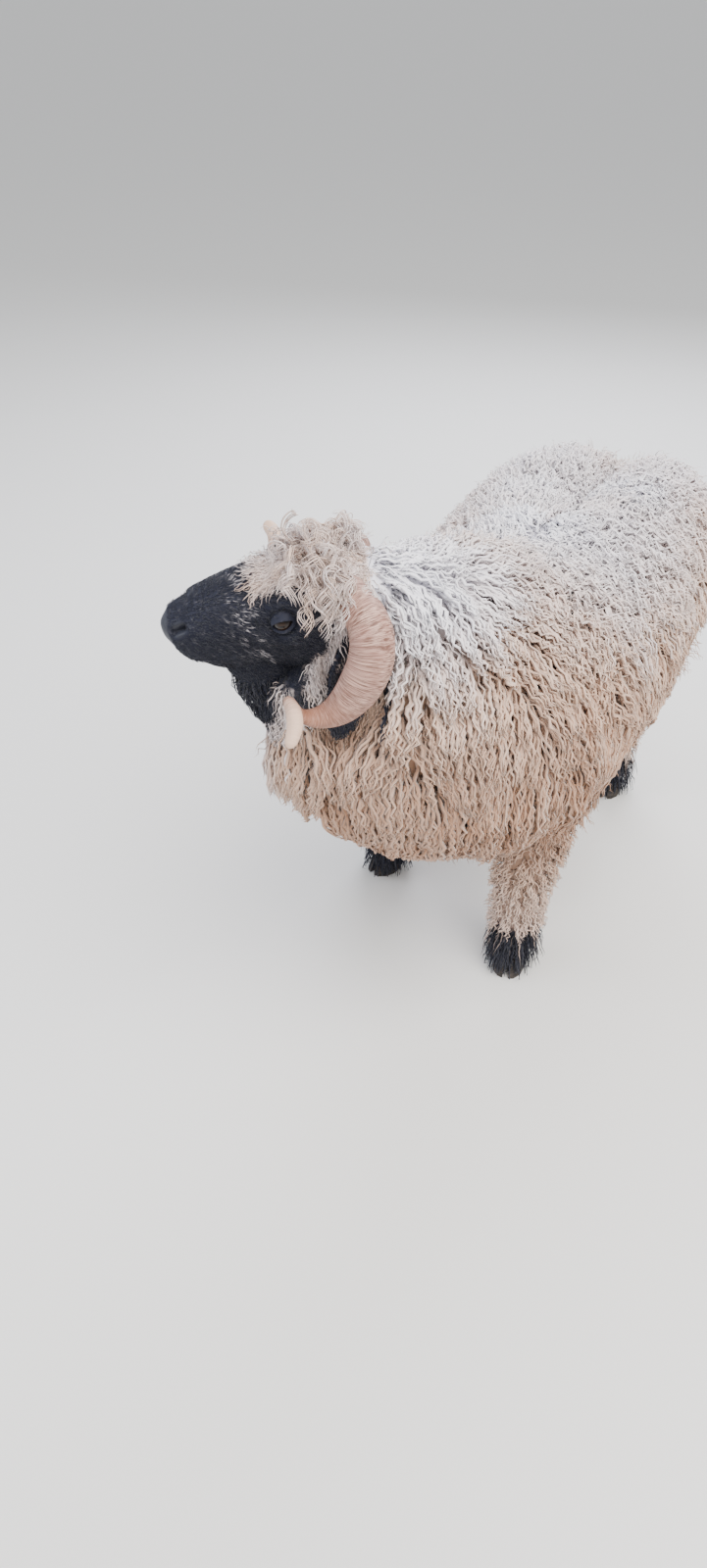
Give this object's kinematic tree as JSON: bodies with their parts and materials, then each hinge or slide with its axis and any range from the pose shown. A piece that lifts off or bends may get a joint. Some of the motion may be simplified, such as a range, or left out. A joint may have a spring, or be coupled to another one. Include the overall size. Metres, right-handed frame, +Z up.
{
  "type": "valais blacknose sheep",
  "caption": "Standing horned sheep in a long curly cream fleece, with black face, ears and feet, head raised and turned to its right; a still life-size model.",
  "frame": {"origin": "on the floor, under the middle of the bounding box", "axes": "+Z up; the sheep faces -Y and its left side is +X"},
  "size_m": [0.5492, 1.2734, 0.9525],
  "materials": {
    "fleece": "long curly wool, matt",
    "black_fur": "short dense black fur, slight sheen",
    "horn": "ridged keratin, satin",
    "hoof": "dark keratin, satin",
    "eye": "wet gloss"
  },
  "bodies": {
    "root": {"torso": "fleece", "neck": "fleece", "forelock": "fleece", "tail": "fleece", "foreleg_left": "fleece", "foreleg_right": "fleece", "hindleg_left": "fleece", "hindleg_right": "fleece", "head": "black_fur", "ear_left": "black_fur", "ear_right": "black_fur", "fore_pastern_left": "black_fur", "fore_pastern_right": "black_fur", "hind_pastern_left": "black_fur", "hind_pastern_right": "black_fur", "horn_left": "horn", "horn_right": "horn", "fore_hoof_left": "hoof", "fore_hoof_right": "hoof", "hind_hoof_left": "hoof", "hind_hoof_right": "hoof", "eye_left": "eye", "eye_right": "eye"}
  },
  "joints": []
}
